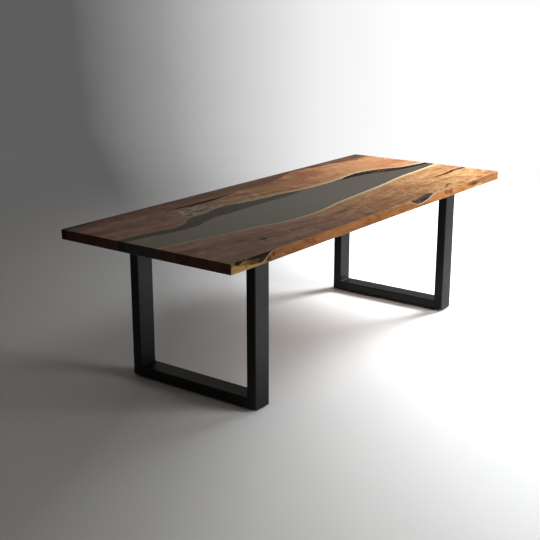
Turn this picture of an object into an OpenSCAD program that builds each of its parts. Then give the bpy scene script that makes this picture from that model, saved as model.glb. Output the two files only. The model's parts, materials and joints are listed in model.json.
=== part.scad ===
// Live edge river dining table: two wood slabs joined by a river of cast resin, on two steel U legs.
// X runs along the table, -Y is the front edge, +Z is up, and the origin is on the floor at its centre.

/* [Top] */
// Height of the top surface above the floor
table_h = 762; // [700:2:800]
// Length of the top
top_l = 2440; // [2200:20:2800]
// Width of the top
top_w = 960; // [900:10:1060]
// Thickness of the top
top_t = 45; // [42:1:60]
// Chamfer along the top's outer edges
top_chamfer = 2; // [1:0.5:2.5]

/* [River] */
// Sideways shift of the whole river from its usual line
river_shift = 0; // [-30:5:30]
// Share of the bark's slope that shows under the resin, where 1 is the natural slope
bark_reach = 1; // [0.5:0.1:1.3]
// Height of the ripples in the bark
bark_ripple = 1.5; // [0:0.25:3]

/* [Fills] */
// Wood left under the resin in the split and the crack
fill_floor = 24; // [24:1:32]
// Depth of the resin plugs in the knots
knot_d = 10; // [4:1:20]
// Width of the resin at the near rear corner
corner_fill_w = 34; // [20:1:50]
// Length of the resin at the near rear corner
corner_fill_l = 360; // [200:10:500]
// Length of the bark pocket at the near front corner
near_pocket_l = 272; // [200:4:320]
// Height of the bark pocket at the near front corner
near_pocket_h = 34; // [20:1:36]
// Depth of the bark pocket at the near front corner
near_pocket_d = 30; // [15:1:45]
// Distance from the far end to the middle of the almond-shaped void
far_pocket_x = 893; // [700:10:1000]
// Length of the almond-shaped void
far_pocket_l = 236; // [150:4:280]
// Height of the almond-shaped void
far_pocket_h = 29; // [15:1:36]
// Depth of the almond-shaped void
far_pocket_d = 26; // [12:1:40]
// Wood left between the front arris and the pockets
pocket_skin = 2.5; // [2.5:0.5:4]

/* [Legs] */
// Width of the leg tube along the table
tube_w = 100; // [80:2:120]
// Depth of the leg tube across the table, and height of the foot rail
tube_d = 50; // [40:2:70]
// Wall of the leg tube
tube_wall = 3; // [2:0.5:5]
// Outer corner radius of the leg tube
tube_r = 5; // [4:0.5:8]
// Distance of each leg's centre line from the end of the top
leg_inset = 352; // [260:4:500]
// Width of each leg over its posts
leg_span = 732; // [640:4:800]
// Leg of the fillet welds
weld_a = 4; // [3:0.5:6]

/* [Plates and bolts] */
// Thickness of the plate on top of each leg
plate_t = 6; // [5:0.5:10]
// Width of a slot in the plate
slot_w = 9; // [8.5:0.5:10]
// Length of a slot in the plate, end to end
slot_l = 16; // [12:1:20]
// Distance of each row of bolts from the leg's centre line
bolt_x = 30; // [24:1:34]
// Distance of the outer bolts from the inner faces of the posts
bolt_from_post = 31; // [24:1:40]
// Distance between the outer and the inner bolts
bolt_pitch = 80; // [50:2:90]
// Diameter of the bolts
bolt_d = 8; // [6:1:8]
// Length of the bolts under the head
bolt_l = 25; // [20:1:28]
// Diameter of the washers
washer_d = 16; // [14:1:20]
// Thickness of the washers
washer_t = 1.6; // [1:0.1:2.5]
// Outer diameter of the threaded inserts
insert_d = 12; // [11:0.5:14]
// Length of the threaded inserts
insert_l = 20; // [15:1:21]

/* [Stiffeners] */
// Width of the C channels
channel_w = 38; // [30:2:50]
// Height of the C channels
channel_h = 12.5; // [10:0.5:16]
// Thickness of the C channels
channel_t = 3; // [2:0.5:4]
// Length of the C channels
channel_l = 800; // [740:10:840]
// Distance of each C channel from the middle of the table
channel_x = 300; // [200:10:500]
// Diameter of the channel screws
screw_d = 5; // [4:0.5:6]
// Length of the channel screws under the head
screw_l = 22; // [16:1:26]
// Distance of the outer screws from the ends of the C channels
screw_inset = 40; // [20:5:60]
// Distance between the outer and the inner screws
screw_pitch = 100; // [60:5:120]

/* [Feet] */
// Gap between the floor and the foot rail with the feet screwed right in
foot_gap = 8; // [8:0.5:14]
// Distance of each foot from the end of its foot rail
foot_inset = 40; // [30:1:60]
// Diameter of the foot pads
pad_d = 40; // [30:1:50]
// Thickness of the foot pads
pad_t = 3.5; // [3.5:0.1:3.8]
// Diameter of the threaded stems
stem_d = 10; // [8:1:12]
// Length of the threaded stems above the pad
stem_l = 36; // [30:1:38]
// Width across the flats of the stem's hexagon
hex_af = 14; // [14:1:17]

/* [Hidden] */
$fn = 48;

// Room around a thread in its hole
thread_fit = 0.05;
// Room around a screw in a clearance hole, and around a piece that is let into the top
loose_fit = 0.5;
// Room around a bolt in its washer
washer_fit = 0.2;
// Room between the pieces of a foot
foot_clearance = 0.3;
// Room past the tip of a bolt or a screw
tip_room = 2;
// How far a cutting shape runs past the face that it cuts
past = 1;

under_z = table_h - top_t;
post_top_z = under_z - plate_t;
rail_top_z = foot_gap + tube_d;
leg_x = top_l / 2 - leg_inset;
post_y = (leg_span - tube_d) / 2;
post_inner_y = leg_span / 2 - tube_d;
foot_y = leg_span / 2 - foot_inset;

bolt_head_d = 1.85 * bolt_d;
bolt_head_h = 0.65 * bolt_d;
screw_head_d = 2.1 * screw_d;
screw_head_h = 0.5 * screw_d;

// Rivet nut in the foot rail, and the foot that screws into it
nut_wall = 2;
nut_brim = 3;
nut_flange_t = 1.2;
nut_l = 14;
nut_body_d = stem_d + 2 * nut_wall;
nut_flange_d = nut_body_d + 2 * nut_brim;
hex_h = foot_gap - nut_flange_t - pad_t - 2 * foot_clearance;
socket_floor = 1.2;
pad_round = 1.2;

// Sides of the table, as signs along X and Y
NEAR = -1;
FAR = 1;
REAR = 1;
FRONT = -1;

wood = [0.55, 0.36, 0.22];
resin = [0.36, 0.35, 0.31];
dark_resin = [0.09, 0.07, 0.05];
clear_resin = [0.42, 0.34, 0.2];
black_steel = [0.07, 0.07, 0.07];
zinc = [0.7, 0.7, 0.72];
brass = [0.72, 0.56, 0.3];
rubber = [0.05, 0.05, 0.05];

// ---- Live edges: [share of the top's length from its middle, distance from the centre line] ----
REAR_EDGE = [
    [-0.5, 142], [-0.42, 118], [-0.38, 97], [-0.355, 98], [-0.33, 118], [-0.3, 160], [-0.26, 168],
    [-0.2, 196], [-0.165, 202], [-0.135, 177], [-0.105, 166], [-0.05, 151], [-0.01, 146],
    [0.045, 122], [0.115, 111], [0.2, 116], [0.23, 130], [0.265, 136], [0.3, 135], [0.33, 118],
    [0.36, 94], [0.385, 62], [0.41, 30], [0.44, 15], [0.47, 2], [0.5, -8]
];
FRONT_EDGE = [
    [-0.5, -88], [-0.43, -108], [-0.385, -137], [-0.33, -157], [-0.27, -184], [-0.22, -218],
    [-0.16, -233], [-0.09, -227], [0, -193], [0.1, -169], [0.2, -144], [0.31, -107],
    [0.42, -92], [0.5, -78]
];
// How far the bark runs out below the resin, at the underside of the top
REAR_REACH = [
    [-0.5, 14], [-0.42, 20], [-0.36, 26], [-0.32, 62], [-0.29, 64], [-0.24, 66], [-0.19, 80],
    [-0.15, 74], [-0.11, 50], [-0.05, 34], [0, 26], [0.05, 12], [0.12, 8], [0.2, 12],
    [0.25, 18], [0.32, 24], [0.38, 22], [0.43, 16], [0.5, 10]
];
FRONT_REACH = [[-0.5, 12], [-0.3, 22], [-0.1, 28], [0.1, 20], [0.3, 14], [0.5, 10]];

// ---- Cracks: [share of length, distance from the centre line, half width] ----
REAR_SPLIT = [
    [-0.281, 356, 0.6], [-0.26, 350, 4], [-0.222, 343, 9], [-0.185, 338, 13], [-0.143, 338, 13],
    [-0.108, 346, 8], [-0.08, 349, 3.5], [-0.06, 350, 0.6]
];
FRONT_CRACK = [
    [0.277, -254, 0.6], [0.333, -272, 2.4], [0.381, -284, 4.5], [0.42, -277, 5], [0.449, -271, 6],
    [0.478, -279, 6.5], [0.502, -287, 6.5]
];
// ---- Knots: [share of length, distance from the centre line, half length, half width] ----
KNOTS = [
    [-0.338, -340, 15, 5], [-0.093, -366, 6, 4], [-0.041, -329, 5, 4], [-0.062, -386, 5, 4],
    [0.166, -275, 7, 4], [-0.24, 222, 20, 4]
];
// ---- Pocket outlines on the front face, clockwise: [share of length, share of height] ----
NEAR_POCKET = [
    [0, 0.06], [0.25, 0.015], [0.5, 0], [0.75, 0.015], [1, 0.06], [0.95, 0.25], [0.88, 0.5],
    [0.8, 0.84], [0.73, 0.99], [0.66, 1], [0.5, 0.79], [0.35, 0.67], [0.2, 0.56], [0.08, 0.38]
];
FAR_POCKET = [
    [0, 0.2], [0.12, 0.07], [0.35, 0.01], [0.65, 0], [1, 0.04], [0.9, 0.28], [0.78, 0.55],
    [0.62, 0.85], [0.46, 1], [0.34, 0.99], [0.2, 0.77], [0.08, 0.47]
];

// ---- Smooth curve through points [u, value] ----
function seg(p, u, i = 0) = i >= len(p) - 2 || u < p[i + 1][0] ? i : seg(p, u, i + 1);
function slope(p, i) =
    let (a = max(i - 1, 0), b = min(i + 1, len(p) - 1)) (p[b][1] - p[a][1]) / (p[b][0] - p[a][0]);
function curve(p, u) =
    let (
        i = seg(p, u),
        h = p[i + 1][0] - p[i][0],
        t = (u - p[i][0]) / h
    )
    (2 * t ^ 3 - 3 * t ^ 2 + 1) * p[i][1] + (t ^ 3 - 2 * t ^ 2 + t) * h * slope(p, i)
    + (3 * t ^ 2 - 2 * t ^ 3) * p[i + 1][1] + (t ^ 3 - t ^ 2) * h * slope(p, i + 1);

// ---- Side surfaces of the slabs and the river, at a share u of the length and a share t of the depth ----
stations = 96;
LEVELS = [0, 0, 0.1, 0.25, 0.45, 0.7, 1, 1];
bark_round = 1.7;
// Waves along the bark: [degrees over the length, degrees over the depth]
RIPPLES = [[5400, 90], [9300, -160]];
function bulge(t) = 1 - (1 - t) ^ bark_round;
function ripple(u, t) = bark_ripple * bulge(t)
    * (sin(u * RIPPLES[0][0] + t * RIPPLES[0][1]) + sin(u * RIPPLES[1][0] + t * RIPPLES[1][1])) / 2;
function rear_edge(u, t) =
    river_shift + curve(REAR_EDGE, u) - bark_reach * curve(REAR_REACH, u) * bulge(t) + ripple(u, t);
function front_edge(u, t) =
    river_shift + curve(FRONT_EDGE, u) + bark_reach * curve(FRONT_REACH, u) * bulge(t)
    + ripple(u + 0.1, t);
function station(i) = i / stations - 0.5;
rear_side = [for (i = [0 : stations]) [for (t = LEVELS) rear_edge(station(i), t)]];
front_side = [for (i = [0 : stations]) [for (t = LEVELS) front_edge(station(i), t)]];
function flat_side(y) = [for (i = [0 : stations]) [for (t = LEVELS) y]];

// A solid between two side surfaces, which runs a little past the top's ends and faces
module between(low, high) {
    rows = len(LEVELS);
    last = rows - 1;
    function id(side, i, j) = (side * (stations + 1) + i) * rows + j;
    function over(k, n) = k == 0 ? -past : k == n ? past : 0;
    points = [
        for (side = [low, high]) for (i = [0 : stations]) for (j = [0 : last])
            [
                station(i) * top_l + over(i, stations),
                side[i][j],
                table_h - LEVELS[j] * top_t - over(j, last)
            ]
    ];
    sides = [
        for (i = [0 : stations - 1]) for (j = [0 : last - 1]) each [
            [id(0, i, j), id(0, i + 1, j), id(0, i + 1, j + 1)],
            [id(0, i, j), id(0, i + 1, j + 1), id(0, i, j + 1)],
            [id(1, i, j), id(1, i + 1, j + 1), id(1, i + 1, j)],
            [id(1, i, j), id(1, i, j + 1), id(1, i + 1, j + 1)]
        ]
    ];
    top_and_bottom = [
        for (i = [0 : stations - 1]) each [
            [id(0, i, 0), id(1, i, 0), id(1, i + 1, 0), id(0, i + 1, 0)],
            [id(0, i, last), id(0, i + 1, last), id(1, i + 1, last), id(1, i, last)]
        ]
    ];
    ends = [
        for (j = [0 : last - 1]) each [
            [id(1, 0, j), id(0, 0, j), id(0, 0, j + 1), id(1, 0, j + 1)],
            [id(1, stations, j), id(1, stations, j + 1), id(0, stations, j + 1), id(0, stations, j)]
        ]
    ];
    polyhedron(points, concat(sides, top_and_bottom, ends), convexity = 8);
}

module box(size, centre) {
    translate(centre) cube(size, center = true);
}

// The outer shape of the whole top, with its edges chamfered
module top_block() {
    middle = [0, 0, table_h - top_t / 2];
    trim = 2 * top_chamfer;
    hull() {
        box([top_l, top_w, top_t - trim], middle);
        box([top_l - trim, top_w - trim, top_t], middle);
    }
}

// ---- Resin fills ----
function crack_outline(p) = concat(
    [for (a = p) [a[0] * top_l, a[1] + a[2]]],
    [for (i = [len(p) - 1 : -1 : 0]) [p[i][0] * top_l, p[i][1] - p[i][2]]]
);

module crack(p) {
    intersection() {
        top_block();
        translate([0, 0, under_z + fill_floor]) linear_extrude(top_t) polygon(crack_outline(p));
    }
}

module corner_void() {
    l = corner_fill_l;
    w = corner_fill_w;
    intersection() {
        top_block();
        translate([-top_l / 2, top_w / 2, under_z - past]) linear_extrude(top_t + 2 * past)
            polygon([[-past, past], [-past, -w], [0.25 * l, -0.8 * w], [0.5 * l, -0.42 * w],
                     [0.75 * l, -0.18 * w], [l, past]]);
    }
}

module knots() {
    unevenness = 0.12;
    for (k = KNOTS)
        translate([k[0] * top_l, k[1], table_h - knot_d]) linear_extrude(knot_d)
            polygon([for (a = [0 : 30 : 330])
                [k[2] * cos(a), k[3] * sin(a)] * (1 + unevenness * sin(3 * a + 40 * k[2]))]);
}

// A hollow in the front face that closes smoothly as it goes in
module pocket(outline, start_x, size) {
    n = len(outline);
    rings = 5;
    turn = 80 / rings;
    function ring(k) = let (f = sin(max(k, 0) * turn), s = cos(max(k, 0) * turn)) [
        for (p = outline) [
            start_x + size[0] * (0.5 + (p[0] - 0.5) * s),
            k < 0 ? -top_w / 2 - past : -top_w / 2 + size[1] * f,
            table_h - pocket_skin - size[2] * p[1] * s
        ]
    ];
    points = [for (k = [-1 : rings]) each ring(k)];
    walls = [
        for (k = [0 : rings]) for (i = [0 : n - 1]) let (a = k * n + i, b = k * n + (i + 1) % n)
            each [[a, a + n, b + n], [a, b + n, b]]
    ];
    caps = [[for (i = [0 : n - 1]) i], [for (i = [n - 1 : -1 : 0]) (rings + 1) * n + i]];
    intersection() {
        top_block();
        polyhedron(points, concat(walls, caps), convexity = 6);
    }
}

module near_pocket() {
    pocket(NEAR_POCKET, -top_l / 2 + top_chamfer + past, [near_pocket_l, near_pocket_d, near_pocket_h]);
}

module far_pocket() {
    start_x = top_l / 2 - far_pocket_x - far_pocket_l / 2;
    pocket(FAR_POCKET, start_x, [far_pocket_l, far_pocket_d, far_pocket_h]);
}

// ---- Places of the bolts of a leg and of the screws of a channel ----
module at_bolts(side, z) {
    outer_y = post_inner_y - bolt_from_post;
    for (x = [-bolt_x, bolt_x]) for (y = [outer_y, outer_y - bolt_pitch]) for (end = [REAR, FRONT])
        translate([side * leg_x + x, end * y, z]) children();
}

module at_screws(side, z) {
    outer_y = channel_l / 2 - screw_inset;
    for (y = [outer_y, outer_y - screw_pitch]) for (end = [REAR, FRONT])
        translate([side * channel_x, end * y, z]) children();
}

module ring(outer, inner, h) {
    difference() {
        cylinder(d = outer, h = h);
        translate([0, 0, -past]) cylinder(d = inner, h = h + 2 * past);
    }
}

// Everything that is let into the underside of the top
module underside_cuts() {
    room = 2 * loose_fit;
    bore_l = max(insert_l, bolt_l - washer_t - plate_t) + tip_room;
    for (side = [NEAR, FAR]) {
        at_bolts(side, under_z - past)
            cylinder(d = insert_d + 2 * thread_fit, h = bore_l + past);
        at_screws(side, under_z - past)
            cylinder(d = screw_d + 2 * thread_fit, h = screw_l + tip_room + past);
        box([channel_w + room, channel_l + room, 2 * channel_t + room], [side * channel_x, 0, under_z]);
        for (edge = [-1, 1])
            box([channel_t + room, channel_l + room, 2 * channel_h + room],
                [side * channel_x + edge * (channel_w - channel_t) / 2, 0, under_z]);
    }
}

module rear_slab() {
    color(wood) difference() {
        intersection() {
            top_block();
            between(rear_side, flat_side(top_w / 2 + past));
        }
        crack(REAR_SPLIT);
        corner_void();
        knots();
        underside_cuts();
    }
}

module front_slab() {
    color(wood) difference() {
        intersection() {
            top_block();
            between(flat_side(-top_w / 2 - past), front_side);
        }
        crack(FRONT_CRACK);
        near_pocket();
        far_pocket();
        knots();
        underside_cuts();
    }
}

module river_resin() {
    color(resin) difference() {
        intersection() {
            top_block();
            between(front_side, rear_side);
        }
        underside_cuts();
    }
}

module rear_split_fill() {
    color(dark_resin) crack(REAR_SPLIT);
}

module rear_corner_fill() {
    color(resin) corner_void();
}

module front_crack_fill() {
    color(dark_resin) crack(FRONT_CRACK);
}

module near_pocket_fill() {
    color(clear_resin) near_pocket();
}

module far_pocket_fill() {
    color(clear_resin) far_pocket();
}

module knot_fills() {
    color(dark_resin) knots();
}

// ---- Legs ----
module rounded_rect(w, h, r) {
    square([w, h - 2 * r], center = true);
    square([w - 2 * r, h], center = true);
    for (x = [-1, 1]) for (y = [-1, 1]) translate([x * (w / 2 - r), y * (h / 2 - r)]) circle(r);
}

module tube_section() {
    inner_r = max(tube_r - tube_wall, 1);
    difference() {
        rounded_rect(tube_w, tube_d, tube_r);
        rounded_rect(tube_w - 2 * tube_wall, tube_d - 2 * tube_wall, inner_r);
    }
}

// Half space beyond the mitre of a lower corner: below and outside it, or above and inside it
module beyond_mitre(end, below) {
    reach = 2 * tube_d;
    translate([0, end * leg_span / 2, foot_gap]) rotate([-end * 45, 0, 0])
        translate([0, 0, below ? -reach : reach])
            cube([tube_w + 2 * past, 4 * tube_d, 2 * reach], center = true);
}

module post(side, end) {
    color(black_steel) translate([side * leg_x, 0, 0]) difference() {
        translate([0, end * post_y, foot_gap]) linear_extrude(post_top_z - foot_gap) tube_section();
        beyond_mitre(end, true);
    }
}

module foot_rail(side) {
    color(black_steel) translate([side * leg_x, 0, 0]) difference() {
        translate([0, leg_span / 2, foot_gap + tube_d / 2]) rotate([90, 0, 0])
            linear_extrude(leg_span) tube_section();
        for (end = [REAR, FRONT]) {
            beyond_mitre(end, false);
            translate([0, end * foot_y, foot_gap - past])
                cylinder(d = nut_body_d + 2 * thread_fit, h = tube_wall + 2 * past);
        }
    }
}

module top_plate(side) {
    color(black_steel) difference() {
        translate([side * leg_x, 0, post_top_z]) linear_extrude(plate_t)
            rounded_rect(tube_w, leg_span, tube_r);
        at_bolts(side, post_top_z - past) linear_extrude(plate_t + 2 * past) {
            square([slot_w, slot_l - slot_w], center = true);
            for (y = [-1, 1]) translate([0, y * (slot_l - slot_w) / 2]) circle(d = slot_w);
        }
    }
}

// A fillet bead along X, in the corner between an upright face and a level one
module bead(up, inward) {
    l = tube_w - 2 * tube_r;
    crown = 0.6 * weld_a;
    translate([-l / 2, 0, 0]) rotate([90, 0, 90]) linear_extrude(l)
        polygon([[0, 0], [inward * weld_a, 0], [inward * crown, up * crown], [0, up * weld_a]]);
}

module welds(side) {
    color(black_steel) translate([side * leg_x, 0, 0]) for (end = [REAR, FRONT]) {
        translate([0, end * post_inner_y, rail_top_z]) bead(1, -end);
        translate([0, end * post_inner_y, post_top_z]) bead(-1, -end);
    }
}

module bolts(side) {
    head_z = post_top_z - washer_t;
    color(zinc) {
        at_bolts(side, head_z - bolt_head_h) cylinder(d = bolt_head_d, h = bolt_head_h, $fn = 6);
        at_bolts(side, head_z) cylinder(d = bolt_d, h = bolt_l);
    }
}

module washers(side) {
    color(zinc) at_bolts(side, post_top_z - washer_t) ring(washer_d, bolt_d + 2 * washer_fit, washer_t);
}

module inserts(side) {
    color(brass) at_bolts(side, under_z) ring(insert_d, bolt_d + 2 * thread_fit, insert_l);
}

// ---- Stiffeners ----
module channel(side) {
    color(black_steel) difference() {
        union() {
            box([channel_w, channel_l, channel_t], [side * channel_x, 0, under_z + channel_t / 2]);
            for (edge = [-1, 1])
                box([channel_t, channel_l, channel_h],
                    [side * channel_x + edge * (channel_w - channel_t) / 2, 0, under_z + channel_h / 2]);
        }
        at_screws(side, under_z - past) cylinder(d = screw_d + 2 * loose_fit, h = channel_t + 2 * past);
    }
}

module channel_screws() {
    color(zinc) for (side = [NEAR, FAR]) {
        at_screws(side, under_z - screw_head_h) cylinder(d = screw_head_d, h = screw_head_h);
        at_screws(side, under_z) cylinder(d = screw_d, h = screw_l);
    }
}

// ---- Levelling feet ----
module foot_nuts(side) {
    color(zinc) for (end = [REAR, FRONT]) translate([side * leg_x, end * foot_y, foot_gap]) difference() {
        union() {
            translate([0, 0, -nut_flange_t]) cylinder(d = nut_flange_d, h = nut_flange_t);
            cylinder(d = nut_body_d, h = nut_l);
        }
        translate([0, 0, -nut_flange_t - past])
            cylinder(d = stem_d + 2 * thread_fit, h = nut_l + nut_flange_t + 2 * past);
    }
}

module pad(side, end) {
    color(rubber) translate([side * leg_x, end * foot_y, 0]) rotate_extrude() difference() {
        union() {
            square([pad_d / 2 - pad_round, pad_t]);
            square([pad_d / 2, pad_t - pad_round]);
            translate([pad_d / 2 - pad_round, pad_t - pad_round]) circle(pad_round);
        }
        translate([0, socket_floor]) square([stem_d / 2 + thread_fit, pad_t]);
        translate([-pad_d, -past]) square([pad_d, pad_t + 2 * past]);
    }
}

module stem(side, end) {
    color(zinc) translate([side * leg_x, end * foot_y, 0]) {
        translate([0, 0, socket_floor + foot_clearance])
            cylinder(d = stem_d, h = pad_t + stem_l - socket_floor);
        translate([0, 0, pad_t + foot_clearance]) cylinder(d = hex_af / cos(30), h = hex_h, $fn = 6);
    }
}

rear_slab();
front_slab();
river_resin();
rear_split_fill();
rear_corner_fill();
front_crack_fill();
near_pocket_fill();
far_pocket_fill();
knot_fills();
post(NEAR, REAR);  // near_rear_post
post(NEAR, FRONT);  // near_front_post
foot_rail(NEAR);  // near_foot_rail
top_plate(NEAR);  // near_top_plate
welds(NEAR);  // near_welds
bolts(NEAR);  // near_bolts
washers(NEAR);  // near_washers
inserts(NEAR);  // near_inserts
foot_nuts(NEAR);  // near_foot_nuts
post(FAR, REAR);  // far_rear_post
post(FAR, FRONT);  // far_front_post
foot_rail(FAR);  // far_foot_rail
top_plate(FAR);  // far_top_plate
welds(FAR);  // far_welds
bolts(FAR);  // far_bolts
washers(FAR);  // far_washers
inserts(FAR);  // far_inserts
foot_nuts(FAR);  // far_foot_nuts
channel(NEAR);  // near_channel
channel(FAR);  // far_channel
channel_screws();
pad(NEAR, REAR);  // near_rear_pad
stem(NEAR, REAR);  // near_rear_stem
pad(NEAR, FRONT);  // near_front_pad
stem(NEAR, FRONT);  // near_front_stem
pad(FAR, REAR);  // far_rear_pad
stem(FAR, REAR);  // far_rear_stem
pad(FAR, FRONT);  // far_front_pad
stem(FAR, FRONT);  // far_front_stem
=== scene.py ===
"""Looks of the live edge river dining table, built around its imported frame. Lengths are in metres."""
import json
import math

import bmesh
import bpy
import numpy as np
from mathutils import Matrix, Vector


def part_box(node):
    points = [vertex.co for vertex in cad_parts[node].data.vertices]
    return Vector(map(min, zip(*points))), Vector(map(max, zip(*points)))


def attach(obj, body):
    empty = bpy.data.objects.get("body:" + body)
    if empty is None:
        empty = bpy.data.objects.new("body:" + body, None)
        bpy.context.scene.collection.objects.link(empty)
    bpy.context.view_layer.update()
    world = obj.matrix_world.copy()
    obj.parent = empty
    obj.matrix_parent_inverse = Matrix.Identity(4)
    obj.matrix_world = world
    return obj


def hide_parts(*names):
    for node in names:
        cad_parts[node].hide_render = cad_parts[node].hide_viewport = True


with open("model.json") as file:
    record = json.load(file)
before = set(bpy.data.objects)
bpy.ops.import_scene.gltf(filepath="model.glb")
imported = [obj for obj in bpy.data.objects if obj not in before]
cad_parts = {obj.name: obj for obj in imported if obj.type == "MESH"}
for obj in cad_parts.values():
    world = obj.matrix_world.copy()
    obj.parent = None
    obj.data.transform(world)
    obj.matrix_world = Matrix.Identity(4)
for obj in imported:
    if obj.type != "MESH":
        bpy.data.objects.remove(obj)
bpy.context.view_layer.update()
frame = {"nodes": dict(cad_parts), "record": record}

MM = 0.001

# ---- Sizes, from the frame ----
TOP_LOW, TOP_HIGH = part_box("rear_slab")
HALF_L = TOP_HIGH.x
HALF_W = TOP_HIGH.y
TOP_Z = TOP_HIGH.z
UNDER_Z = TOP_LOW.z
THICK = TOP_Z - UNDER_Z
LENGTH = 2 * HALF_L
ARRIS = 2 * MM
FILL_FLOOR = UNDER_Z + 24 * MM
PLUG_DEPTH = 10 * MM
CUT_PAST = 3 * MM
CHANNEL_ROOM = 0.5 * MM
RECESS_TOP = UNDER_Z + 13 * MM
NEAR_POCKET_DEPTH, FAR_POCKET_DEPTH = 30 * MM, 26 * MM
SHARP_ANGLE = math.radians(32)

# ---- Live edges, as in the solids: [share of the length from the middle, mm from the centre line] ----
REAR_EDGE = [
    [-0.5, 142], [-0.42, 118], [-0.38, 97], [-0.355, 98], [-0.33, 118], [-0.3, 160], [-0.26, 168],
    [-0.2, 196], [-0.165, 202], [-0.135, 177], [-0.105, 166], [-0.05, 151], [-0.01, 146],
    [0.045, 122], [0.115, 111], [0.2, 116], [0.23, 130], [0.265, 136], [0.3, 135], [0.33, 118],
    [0.36, 94], [0.385, 62], [0.41, 30], [0.44, 15], [0.47, 2], [0.5, -8],
]
FRONT_EDGE = [
    [-0.5, -88], [-0.43, -108], [-0.385, -137], [-0.33, -157], [-0.27, -184], [-0.22, -218],
    [-0.16, -233], [-0.09, -227], [0, -193], [0.1, -169], [0.2, -144], [0.31, -107],
    [0.42, -92], [0.5, -78],
]
REAR_REACH = [
    [-0.5, 14], [-0.42, 20], [-0.36, 26], [-0.32, 62], [-0.29, 64], [-0.24, 66], [-0.19, 80],
    [-0.15, 74], [-0.11, 50], [-0.05, 34], [0, 26], [0.05, 12], [0.12, 8], [0.2, 12],
    [0.25, 18], [0.32, 24], [0.38, 22], [0.43, 16], [0.5, 10],
]
FRONT_REACH = [[-0.5, 12], [-0.3, 22], [-0.1, 28], [0.1, 20], [0.3, 14], [0.5, 10]]
# Roundness of the bark's slope
BARK_ROUND = 1.7
# Raggedness of the rear edge: [share of length, mm]
REAR_RAGGED = [
    [-0.5, 1.5], [-0.4, 2], [-0.34, 6], [-0.2, 8], [-0.05, 4], [0.1, 2], [0.18, 4], [0.3, 7],
    [0.42, 5], [0.5, 3],
]
# Raggedness of the front edge, in mm
FRONT_RAGGED = 1.6

# Far side of the bark that shows through the resin: [mm from the middle, mm from the centre line]
SUNKEN_BARK = [
    [-1240, 94], [-1080, 75], [-982, 48], [-863, 36], [-790, 42], [-715, 66], [-640, 82], [-506, 80],
    [-447, 82], [-280, 88], [-115, 87], [-29, 86], [40, 94], [90, 105], [150, 112], [281, 106],
    [400, 103], [470, 98], [520, 92], [560, 92], [620, 84], [700, 72], [760, 54], [820, 28], [880, 8],
    [940, -6], [1000, -16], [1070, -26], [1130, -32], [1240, -36],
]

# ---- Cracks: [share of length, mm from the centre line, half width in mm] ----
REAR_SPLIT = [
    [-0.282, 357, 0.6], [-0.262, 351, 6], [-0.235, 342, 11], [-0.2, 336, 15], [-0.165, 335, 16],
    [-0.13, 340, 13], [-0.1, 347, 9], [-0.075, 355, 5], [-0.055, 360, 0.6],
]
REAR_CHECK = [
    [-0.27, 227, 0.5], [-0.255, 224, 1.8], [-0.24, 222, 2.8], [-0.225, 219, 2], [-0.212, 216, 0.5],
]
FRONT_CRACK = [
    [0.27, -244, 0.6], [0.328, -261, 3], [0.37, -274, 6.5], [0.4, -275, 8], [0.42, -268, 8.5],
    [0.455, -258, 9], [0.482, -267, 9.5], [0.502, -268, 9.5],
]
FRONT_BRANCH = [[0.446, -322, 0.5], [0.458, -312, 2], [0.472, -302, 2.2], [0.486, -290, 0.5]]
# Knots that are filled with resin, in mm: along, across, half length, half width
KNOT_PLUGS = [
    (-825, -341, 15, 5), (-226, -366, 6, 4), (-100, -329, 5, 4), (-151, -386, 5, 4), (406, -275, 7, 4),
]
# Resin corner of the rear slab: [mm from the near end, mm from the rear side]
CORNER_FILL = [[0, 34], [60, 30], [110, 24], [190, 14], [270, 7], [362, 0.3]]
# Pockets at the front arris, in mm: along, over the top face, down the front face
NEAR_POCKET = [
    (-1218, 7, 12), (-1198, 6, 13), (-1172, 6, 18), (-1150, 5, 22), (-1130, 4, 26), (-1110, 3, 28),
    (-1090, 2.4, 32), (-1050, 2.2, 35), (-1023, 2.2, 37), (-1004, 2.2, 31), (-985, 2.2, 19),
    (-968, 2.2, 10), (-947, 2.2, 4.5), (-925, 2.2, 2.6), (-880, 1, 1),
]
FAR_POCKET = [
    (150, 0.8, 1), (172, 1.6, 2), (196, 2.2, 4), (216, 2.6, 10), (238, 4, 19), (261, 7, 26),
    (298, 11, 31), (336, 18, 28), (382, 24, 20), (419, 28, 9), (440, 24, 6), (458, 17, 3.5),
    (480, 9, 2.6), (506, 5, 2.2), (533, 3.5, 1.8), (565, 1.5, 1),
]

# ---- Knots that bend the grain, in mm: along, across, down from the top, and three radii ----
REAR_KNOTS = [
    (-753, 252, 0, 30, 11, 30), (-586, 222, 0, 60, 16, 30), (350, 276, 0, 34, 14, 30),
    (483, 305, 0, 24, 9, 30), (321, 301, 0, 18, 7, 20), (592, 192, 0, 16, 7, 20),
    (905, 300, 0, 18, 7, 20), (510, 335, 0, 95, 42, 60), (-880, 250, 0, 120, 40, 60),
    (1080, 250, 0, 110, 36, 60),
]
FRONT_KNOTS = [
    (-825, -341, 0, 44, 12, 30), (-226, -366, 0, 22, 9, 20), (-100, -329, 0, 20, 9, 20),
    (-151, -386, 0, 18, 8, 20), (406, -275, 0, 26, 10, 20), (700, -430, 0, 48, 14, 20),
    (625, -480, 20, 36, 40, 24), (-968, -480, 32, 15, 20, 9), (-380, -300, 0, 20, 8, 20),
    (905, -480, 22, 46, 30, 22), (-560, -390, 0, 120, 34, 60), (60, -360, 0, 110, 34, 60),
    (560, -330, 0, 90, 30, 60), (1000, -380, 0, 90, 26, 60),
]
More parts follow.
